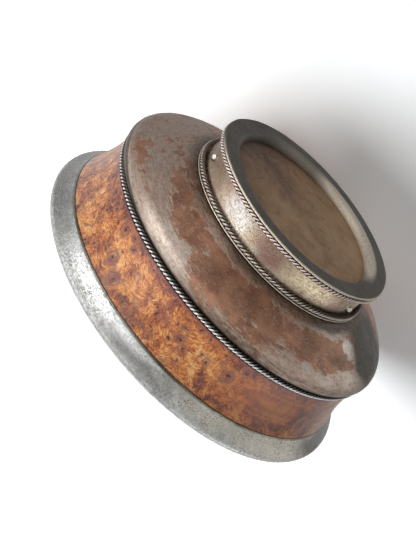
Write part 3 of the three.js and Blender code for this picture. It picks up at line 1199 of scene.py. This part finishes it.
@dataclass
class RimMount(Component):
    """The flared silver band, its rolled lip, and the skirt inside the bowl."""

    form: ClassVar[str] = "band"
    slot: ClassVar[str] = "rim_silver"
    node: str = "rim_mount"
    seam: Point = (60.3, 46.2)
    bead: float = 0.28
    lip: float = 65.0
    height: float = 54.0
    sheet: float = 0.6
    roll: float = 1.5
    roll_start: float = -45.0
    inner_roll: float = 1.2
    skirt: Point = (56.1, 46.9)

    def section(self) -> Section:
        """Draws the bead at the seam, the flared band, the lip, and the skirt back down.

        Returns:
            The section.
        """
        across, up = self.seam
        centre = (self.lip - self.roll, self.height - self.roll)
        start = math.radians(self.roll_start)
        foot = (centre[0] + self.roll * math.cos(start), centre[1] + self.roll * math.sin(start))
        section = Section([(across - 0.6, up - 0.1)])
        section.arc((across - 0.02, up + 0.20), (self.bead, self.bead), -130, 40, 10)
        section.to((across + 0.20, up + 0.60))
        for step in range(1, 17):
            rise = 0.12 + 0.88 * step / 16
            flare = 0.62 * rise + 0.38 * rise * rise
            section.to((across + (foot[0] - across) * flare, up + (foot[1] - up) * rise))
        section.arc(centre, (self.roll, self.roll), self.roll_start + 3, 90, 14)
        inner = (self.lip - 4.6 + self.inner_roll, self.height - self.inner_roll)
        section.arc(inner, (self.inner_roll, self.inner_roll), 90, 145, 6)
        section.to(self.skirt, (self.skirt[0] + self.sheet, self.skirt[1]))
        return section.to((61.0, 52.4), (62.6, 52.6)).closed()

    def finish(self) -> Finish:
        """Returns grey, pitted silver, with a brassy line of dirt along the seam, painted
        highlights on the band and along the lip, and painted shade in places.
        """
        return OldSilver(
            "rim_silver", "dedfdb", "cacbc8", "abaca8", (
                Tint("655b45", (Patch(-90.0, 46.35, 179.9, 0.75, 1.3),
                                Patch(90.0, 46.35, 179.9, 0.75, 1.3)), ragged=False),
                Tint("cfc8b8", (Patch(-130.0, 48.6, 34.0, 4.0, 0.8),)),
                # Painted light: paler at azimuth -150.
                Tint("ebe4d6", (Patch(-150.0, 49.5, 24.0, 6.0, 0.7),)),
                # Painted highlights: on the band at azimuth -72 and along the lip.
                Tint("ffffff", (Patch(-72.0, 48.4, 26.0, 3.0, 1.0),
                                Patch(-90.0, 53.0, 100.0, 1.6, 0.7)), ragged=False),
                # Painted shade in the hollow of the band at azimuth -90, and towards -18.
                Tint("8f8d8c", (Patch(-18.0, 49.0, 30.0, 6.0, 0.7),
                                Patch(-90.0, 50.4, 16.0, 2.8, 0.75))),
                # Painted shade: a dark reflection at the far side, azimuth -178.
                Tint("7d7872", (Patch(-178.0, 49.0, 26.0, 7.0, 1.2),)),
            ), polish=0.20, scratches=0.60, pits=0.85, dents=0.26, brushed=0.42)


@dataclass
class TwistedWire(Component):
    """A closed ring of three strands laid together, each bead a third of their twist."""

    form: ClassVar[str] = "strands"
    slot: ClassVar[str] = "wire_silver"
    ring_radius: float
    ring_height: float
    width: float
    beads: int
    # The crown colour is the wire's painted highlight and the shade colour its painted shade.
    crown: str
    shade: str
    side: float
    groove_end: float
    strands: int = 3
    sides: int = 9
    steps: int = 5

    def ends(self, bead: float) -> Piece:
        """Adds the strands' ends at the start of the first bead, and stays in edit mode.

        Args:
            bead: Length of a bead in millimetres.

        Returns:
            The piece that they are in.
        """
        spread = math.sin(math.pi / self.strands)
        thickness = self.width / 2 * spread / (1 + spread)
        offset = self.width / 2 - thickness
        clear_selection()
        for strand in range(self.strands):
            angle = WHOLE_TURN * strand / self.strands
            place = (self.ring_radius + offset * math.cos(angle), -bead / 2,
                     self.ring_height + offset * math.sin(angle))
            bpy.ops.mesh.primitive_circle_add(
                vertices=self.sides, radius=thickness * MM, location=[c * MM for c in place],
                rotation=(math.pi / 2, 0, 0))
            if strand == 0:
                piece = bpy.context.object
                piece.name = piece.data.name = f"{self.node}_{self.form}"
                bpy.ops.object.transform_apply(location=True, rotation=True, scale=True)
                bpy.ops.object.mode_set(mode="EDIT")
        bpy.ops.mesh.select_all(action="SELECT")
        return piece

    def model(self) -> Piece:
        """Draws one bead of every strand, twisting it, and copies it round the ring.

        Returns:
            The ring of wire.
        """
        bead = WHOLE_TURN * self.ring_radius / self.beads
        piece = self.ends(bead)
        centre = (self.ring_radius * MM, 0, self.ring_height * MM)
        for _ in range(self.steps):
            step = (0, bead / self.steps * MM, 0)
            bpy.ops.mesh.extrude_region_move(TRANSFORM_OT_translate={"value": step})
            bpy.ops.transform.rotate(value=WHOLE_TURN / self.strands / self.steps,
                                     orient_axis="Y", center_override=centre)
        bpy.ops.mesh.select_all(action="SELECT")
        copies = self.beads - 1
        bpy.ops.mesh.spin(steps=copies, angle=WHOLE_TURN * copies / self.beads, dupli=True,
                          center=(0, 0, 0), axis=(0, 0, 1))
        clean_mesh(threshold=3e-5)
        bpy.ops.object.shade_smooth()
        return piece

    def finish(self) -> Finish:
        """Returns the silver of this ring."""
        return WireSilver(self.node + "_silver", self.ring_radius, self.ring_height, self.width,
                          self.crown, self.shade, self.side, self.groove_end)


@dataclass
class BaseCasing(Component):
    """The spun cone from the foot collar to its rounded edge under the shoulder wire."""

    form: ClassVar[str] = "shell"
    slot: ClassVar[str] = "worn_copper"
    node: str = "base_casing"
    radius: float = 58.3
    top: float = 25.5
    top_edge: float = 56.1
    roll: float = 1.6
    curve: Point = (10.0, 5.4)
    slope_end: float = -49.6
    seat: float = 12.7
    seat_edge: float = 39.2
    bore: float = 36.6
    sheet: float = 0.6

    def section(self) -> Section:
        """Draws the shell outside from its seat up, then inside from its edge down.

        Returns:
            The section.
        """
        height = self.top - self.roll
        centre = (self.radius - self.curve[0], height)
        edge = (self.radius - self.roll, height)
        inner_roll = self.roll - self.sheet
        inner_curve = (self.curve[0] - self.sheet, self.curve[1] - self.sheet)
        section = Section([(self.bore, self.seat), (self.seat_edge, self.seat)])
        section.arc(centre, self.curve, self.slope_end, 0, 30)
        section.arc(edge, (self.roll, self.roll), 6, 90, 10)
        section.to((self.top_edge, self.top), (self.top_edge, self.top - self.sheet))
        section.arc(edge, (inner_roll, inner_roll), 90, 0, 6)
        section.arc(centre, inner_curve, -6, self.slope_end, 16)
        inner_seat = self.seat + self.sheet
        return section.to((self.seat_edge - 0.2, inner_seat), (self.bore, inner_seat)).closed()

    def finish(self) -> Finish:
        """Returns the worn plate."""
        return WornPlate()


@dataclass
class FootCollar(Component):
    """The waisted band between the two foot wires, with its seat turned out on the casing."""

    form: ClassVar[str] = "band"
    slot: ClassVar[str] = "warm_silver"
    node: str = "foot_collar"
    radius: float = 35.7
    waist: float = 0.4
    foot: float = 0.9
    seat: float = 12.0
    seat_radius: float = 37.6
    seat_edge: float = 0.25
    sheet: float = 0.6

    def section(self) -> Section:
        """Draws the waisted outside, the seat with its round edge, and the inside.

        Returns:
            The section.
        """
        section = Section()
        for step in range(21):
            rise = step / 20
            section.to((self.radius - self.waist * math.sin(math.pi * rise),
                        self.foot + (self.seat - self.foot) * rise))
        rim, edge, inside = self.seat_radius - 0.2, self.seat_edge, self.radius - self.sheet
        section.to((rim, self.seat)).arc((rim, self.seat + edge), (edge, edge), -90, 90, 6)
        return section.to((inside, self.seat + 2 * edge), (inside, self.foot)).closed()

    def finish(self) -> Finish:
        """Returns warm silver with mauve stains, gold and white painted highlights, a pale yellow
        patch, painted shade over some tarnish beside the collar wire, and a painted highlight along
        the seat's edge.
        """
        return OldSilver(
            "collar_silver", "fbeedb", "e6cfb6", "b79e8c", (
                Tint("c99f92", (Patch(-92.0, 5.5, 13.0, 6.0, 0.75),
                                Patch(-62.0, 3.0, 18.0, 3.0, 0.5),
                                Patch(-100.0, 8.0, 9.0, 2.5, 0.6))),
                # Painted highlight, gold, at azimuth -122.
                Tint("fff0cc", (Patch(-122.0, 6.0, 22.0, 7.0, 0.85),)),
                Tint("f4dfb2", (Patch(-78.0, 8.0, 10.0, 6.0, 0.45),)),
                Tint("a88c7e", (Patch(-40.0, 6.0, 16.0, 8.0, 0.6),)),
                # Painted highlight, near white, at azimuth -69.
                Tint("fffdf8", (Patch(-69.0, 5.5, 14.0, 9.0, 0.95),)),
                Tint("8f7a67", (Patch(-20.0, 6.0, 32.0, 10.0, 1.2),)),
                # Painted shade, over some tarnish, beside the collar wire.
                Tint("6b6150", (Patch(-135.0, 11.2, 36.0, 5.0, 0.9),
                                Patch(-175.0, 10.8, 24.0, 6.0, 0.9),
                                Patch(-50.0, 10.6, 50.0, 1.4, 0.6)), ragged=False),
                # Painted highlight along the round edge of the seat.
                Tint("fff6e6", (Patch(-90.0, 12.35, 179.9, 0.4, 1.6),
                                Patch(90.0, 12.35, 179.9, 0.4, 1.6)), ragged=False),
            ), polish=0.24, scratches=1.0, pits=0.40, dents=0.16, pit="6a5c4e", brushed=0.35)


@dataclass
class FootFlange(Component):
    """The flat ring that the bowl stands on, turned over into the foot recess."""

    form: ClassVar[str] = "ring"
    slot: ClassVar[str] = "dull_silver"
    node: str = "foot_flange"
    radius: float = 37.6
    edge: float = 0.3
    face_rings: tuple[float, ...] = (33.2, 34.2, 35.4, 36.6)
    turn_in: float = 2.9
    sheet: float = 0.6
    wall: float = 29.5
    knocks: tuple[Point, ...] = (
        (-2.0, 0.4), (17.0, 0.6), (37.0, 0.5), (58.0, 0.3), (-150.0, 0.3), (176.0, 0.4),
    )
    knock_spot: float = 1.2
    knock_reach: float = 11.0

    def section(self) -> Section:
        """Draws the turn into the recess, the flat face, the edge, and the inside.

        Returns:
            The section.
        """
        centre = (self.wall + self.turn_in, self.turn_in)
        inner = self.turn_in - self.sheet
        section = Section().arc(centre, (self.turn_in, self.turn_in), 180, 270, 14)
        section.to(*((radius, 0.0) for radius in self.face_rings))
        section.arc((self.radius - self.edge, self.edge), (self.edge, self.edge), -90, 90, 8)
        return section.arc(centre, (inner, inner), 270, 180, 10).closed()

    def finish(self) -> Finish:
        """Returns dull silver, with a painted highlight where light falls on its turn into the
        recess, and a pale edge that is partly rubbed and partly a painted highlight.
        """
        return OldSilver(
            "flange_silver", "5f564b", "544c41", "453f36", (
                # Painted highlight where light falls on the turn into the recess.
                Tint("fff2dc", (Patch(132.0, 30.9, 58.0, 2.5, 2.2),
                                Patch(75.0, 30.6, 45.0, 3.0, 0.35)), False, Across.RADIUS),
                # Painted shade that takes the pale edge away at azimuths 20 and 125.
                Tint("544c41", (Patch(20.0, 37.6, 70.0, 1.4, 1.4),
                                Patch(125.0, 37.6, 60.0, 1.4, 1.4)), False, Across.RADIUS),
            # The pale edge is partly rubbed bare and partly a painted highlight.
            ), scratches=0.4, pits=0.3, polish=0.36, edge=(36.8, 37.2, "fff4dc"), metal=0.12,
            brushed=0.15)

    def model(self) -> Piece:
        """Turns the flange and presses its edge in at a few places, as by knocks.

        Returns:
            The flange.
        """
        piece = super().model()
        for azimuth, push in self.knocks:
            clear_selection()
            bpy.context.view_layer.objects.active = piece
            piece.select_set(True)
            way = Vector(compass(azimuth))
            for part in (*piece.data.edges, *piece.data.polygons):
                part.select = False
            for vertex in piece.data.vertices:
                off = vertex.co.xy.to_3d() - way * self.radius * MM
                vertex.select = off.length < self.knock_spot * MM
            bpy.ops.object.mode_set(mode="EDIT")
            bpy.ops.transform.translate(
                value=-way * push * MM, use_proportional_edit=True,
                proportional_edit_falloff="SMOOTH", proportional_size=self.knock_reach * MM)
            bpy.ops.object.mode_set(mode="OBJECT")
        return piece


@dataclass
class CollarNail(Component):
    """A dome-headed nail through the collar."""

    form: ClassVar[str] = "dome"
    slot: ClassVar[str] = "nail_silver"
    azimuth: float
    height: float
    collar: float = 35.35
    head: float = 2.6
    rise: float = 1.1
    shank: float = 0.5

    def section(self) -> Section:
        """Draws the shank from its point up, and the domed head.

        Returns:
            The section.
        """
        section = Section([(0.0, -4.0), (self.shank, -3.5), (self.shank, -0.1)])
        section.to((self.head / 2, -0.1)).arc((0.0, 0.0), (self.head / 2, self.rise), 0, 90, 8)
        section.points[-1] = (0.0, self.rise)
        return section

    def model(self) -> Piece:
        """Turns the nail about Z, lays it over and carries it to its place.

        Returns:
            The nail.
        """
        piece = turn(f"{self.node}_{self.form}", self.section(), steps=28, sharp=50)
        carried = Matrix.Translation((self.collar * MM, 0, self.height * MM))
        laid_over = Matrix.Rotation(math.pi / 2, 4, "Y")
        round_foot = Matrix.Rotation(math.radians(self.azimuth), 4, "Z")
        piece.data.transform(round_foot @ carried @ laid_over)
        return piece

    def finish(self) -> Finish:
        """Returns bright, rubbed silver."""
        return OldSilver(self.node + "_silver", "fffaf0", "e2dbce", "a69c8c", pits=0.1,
                         scratches=0.2, polish=0.16, dents=0.05)


# Stage


class Facing(Enum):
    """Which way a one-sided stage surface faces."""

    UP = "up"
    CAMERA = "camera"


@dataclass(frozen=True)
class Window:
    """A bright part of the room that polished metal mirrors: where, how wide, and how bright."""

    way: Direction
    reach: float
    level: float


@dataclass(frozen=True)
class Lamp:
    """A square soft lamp: its way from the bowl, its side in metres and its power in watts."""

    name: str
    way: Direction
    side: float
    power: float


WINDOWS = (
    Window((0.71, -0.69, -0.15), 60.0, 1.10), Window((0.72, -0.62, -0.30), 24.0, 1.25),
    Window((0.96, 0.24, 0.17), 25.0, 0.60), Window((-0.92, -0.17, 0.37), 34.0, 0.95),
    Window((0.55, -0.31, -0.77), 27.0, 1.60), Window((-0.12, -0.87, -0.48), 22.0, 0.45),
    Window((-0.10, -0.12, -0.98), 20.0, 0.45), Window((0.15, 0.10, 1.0), 58.0, 0.70),
    Window((0.80, 0.55, 0.20), 40.0, 0.45), Window((-0.60, 0.75, 0.25), 40.0, 0.25),
    Window((-0.71, -0.40, -0.58), 60.0, 0.36), Window((0.62, -0.76, 0.20), 25.0, 0.68),
    Window((0.31, -0.25, -0.92), 40.0, 0.40), Window((0.54, 0.70, 0.47), 25.0, 0.44),
    Window((-0.70, -0.68, 0.20), 25.0, 0.37), Window((-0.77, 0.49, -0.40), 25.0, 0.31),
    Window((0.50, 0.19, -0.85), 25.0, 0.37), Window((-0.37, 0.80, -0.48), 18.0, 0.75),
)
LAMPS = (
    Lamp("left_window", (0.46, -0.80, 0.39), 0.56, 7.2),
    Lamp("low_window", (-0.84, -0.31, 0.44), 0.35, 1.0),
    Lamp("high_window", (0.75, -0.46, -0.48), 0.35, 0.7),
    Lamp("back_light", (0.0, 1.0, 0.35), 0.6, 2.5),
)


@dataclass
class Stage:
    """Pale floor, white table beyond the bowl, soft lamps, and the camera of the photo.

    Sizes are metres here.
    """

    camera_place: Direction = (0.0037, -0.3854, -0.1450)
    camera_right: Direction = (-0.6508, 0.3352, -0.6813)
    camera_up: Direction = (0.7593, 0.2873, -0.5839)
    field_of_view: float = 25.0
    floor_place: Direction = (0.0, 0.0, -0.0001)
    table_place: Direction = (0.0, 0.0583, 0.024)
    table_slope: float = 12.6
    surface_side: float = 1.6
    paint: tuple[float, float, float, float] = (1.17, 1.2, 1.22, 1.0)
    white: tuple[float, float, float, float] = (1.0, 1.0, 1.0, 1.0)
    grey: tuple[float, float, float, float] = (0.8, 0.8, 0.8, 1.0)
    fade: tuple[float, float, float, float] = (0.12, 0.30, 0.04, 0.8)
    aim: Direction = (0.0, 0.0, 0.027)
    lamp_distance: float = 0.9
    plain_level: float = 0.25
    room_level: float = 0.45

    def surface(self, facing: Facing) -> Piece:
        """Adds a plain white surface that is seen from its front only, and only by the camera.

        Args:
            facing: UP for the floor, CAMERA for the table beyond the bowl.

        Returns:
            The surface.
        """
        clear_selection()
        bpy.ops.mesh.primitive_plane_add(size=self.surface_side, location=(0, 0, 0))
        surface = bpy.context.object
        surface.name = "stage_" + facing.value
        if facing is Facing.CAMERA:
            lean = Matrix.Rotation(math.radians(90 - self.table_slope), 4, "X")
            surface.data.transform(Matrix.Translation(self.table_place) @ lean)
        else:
            surface.data.transform(Matrix.Translation(self.floor_place))
        surface.visible_diffuse = surface.visible_shadow = False
        surface.visible_transmission = surface.visible_glossy = False
        surface.data.materials.append(self.white_paint("white_" + facing.value))
        return surface

    def white_paint(self, name: str) -> bpy.types.Material:
        """Makes a white that keeps a shadow, glows far from the bowl and is clear from behind.

        Args:
            name: Name of the material.

        Returns:
            The material.
        """
        material = bpy.data.materials.new(name)
        w = Wiring(material)
        away = w.measured("LENGTH", w.add("TexCoord").outputs["Object"])
        level = w.times(w.add("LightPath").outputs["Is Camera Ray"], w.ease(away, *self.fade))
        front = w.add("AddShader", w.add("BsdfDiffuse", self.paint).outputs[0],
                      w.add("Emission", self.white, level).outputs[0])
        sides = w.add("MixShader", w.add("NewGeometry").outputs["Backfacing"], front.outputs[0],
                      w.add("BsdfTransparent").outputs[0])
        w.add("OutputMaterial", sides.outputs[0])
        return material

    def hang(self, lamp: Lamp) -> None:
        """Adds a lamp aimed at the bowl, which polished surfaces don't mirror.

        Args:
            lamp: The lamp.
        """
        data = bpy.data.lights.new(lamp.name, "AREA")
        data.shape, data.size, data.energy = "SQUARE", lamp.side, lamp.power
        light = bpy.data.objects.new(lamp.name, data)
        bpy.context.scene.collection.objects.link(light)
        back = Vector(lamp.way).normalized()
        light.location = Vector(self.aim) + back * self.lamp_distance
        light.visible_glossy = False
        light.rotation_mode = "QUATERNION"
        light.rotation_quaternion = (-back).to_track_quat("-Z", "Y")

    def surroundings(self) -> None:
        """Makes the world: white to the eye, windows in reflections, plain light elsewhere."""
        world = bpy.data.worlds.new("studio")
        bpy.context.scene.world = world
        w = Wiring(world)
        ray = w.add("LightPath").outputs
        plain = w.add("Background", self.grey, self.plain_level)
        room = w.add("Background", self.grey, self.room(w))
        lit = w.add("MixShader", ray["Is Glossy Ray"], plain.outputs[0], room.outputs[0])
        seen = w.math("MAXIMUM", ray["Is Camera Ray"], ray["Is Transmission Ray"])
        white = w.add("Background", self.white, 1.0)
        whole = w.add("MixShader", seen, lit.outputs[0], white.outputs[0])
        w.add("OutputWorld", whole.outputs[0])

    def room(self, w: Wiring) -> Value:
        """Adds up the windows of the room by the direction looked in.

        Args:
            w: The world's nodes.

        Returns:
            How bright the room is there.
        """
        way = w.add("TexCoord").outputs["Generated"]
        level: Value = self.room_level
        for window in WINDOWS:
            facing = w.measured("DOT_PRODUCT", way, Vector(window.way).normalized())
            edge = math.cos(math.radians(window.reach))
            level = w.plus(w.ease(facing, edge, 1.0, 0.0, window.level), level)
        return level

    def camera(self) -> None:
        """Puts the camera where the photo was taken."""
        right, up = Vector(self.camera_right), Vector(self.camera_up)
        data = bpy.data.cameras.new("photo_camera")
        data.sensor_fit, data.sensor_width = "AUTO", 36.0
        data.lens = data.sensor_width / 2 / math.tan(math.radians(self.field_of_view / 2))
        data.clip_start, data.clip_end = 0.01, 10.0
        camera = bpy.data.objects.new("photo_camera", data)
        bpy.context.scene.collection.objects.link(camera)
        axes = Matrix((right, up, right.cross(up).normalized())).transposed().to_4x4()
        camera.matrix_world = Matrix.Translation(self.camera_place) @ axes
        bpy.context.scene.camera = camera

    def build(self) -> None:
        """Sets the whole stage."""
        for facing in Facing:
            self.surface(facing)
        for lamp in LAMPS:
            self.hang(lamp)
        self.surroundings()
        self.camera()
        bpy.context.scene.view_settings.view_transform = "Standard"
        LOG.info("stage: floor, table, %d lamps and the camera", len(LAMPS))


def main() -> None:
    """Builds the bowl piece by piece, then its stage."""
    logging.basicConfig(level=logging.INFO, format="%(name)s: %(message)s")
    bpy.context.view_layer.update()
    components = (
        WoodenBowl(), Lining(), RimMount(),
        # Each wire's two colours are its painted highlight and its painted shade.
        TwistedWire("shoulder_wire", 56.8, 26.8, 2.0, 216, "ffffff", "6a6156", 30.0, 0.68),
        BaseCasing(), FootCollar(),
        TwistedWire("collar_wire", 36.8, 11.1, 1.7, 141, "fff8ec", "84695b", 10.0, 0.66),
        TwistedWire("flange_wire", 36.8, 1.7, 1.6, 141, "fff2ea", "96695a", -15.0, 0.64),
        FootFlange(),
        CollarNail("collar_nail_1", -28.0, 7.0), CollarNail("collar_nail_2", -161.0, 8.0),
        CollarNail("collar_nail_3", 86.0, 7.4),
    )
    for component in components:
        piece = component.build()
        LOG.info("%s: %d faces", piece.name, len(piece.data.polygons))
    Stage().build()


if __name__ == "__main__":
    main()
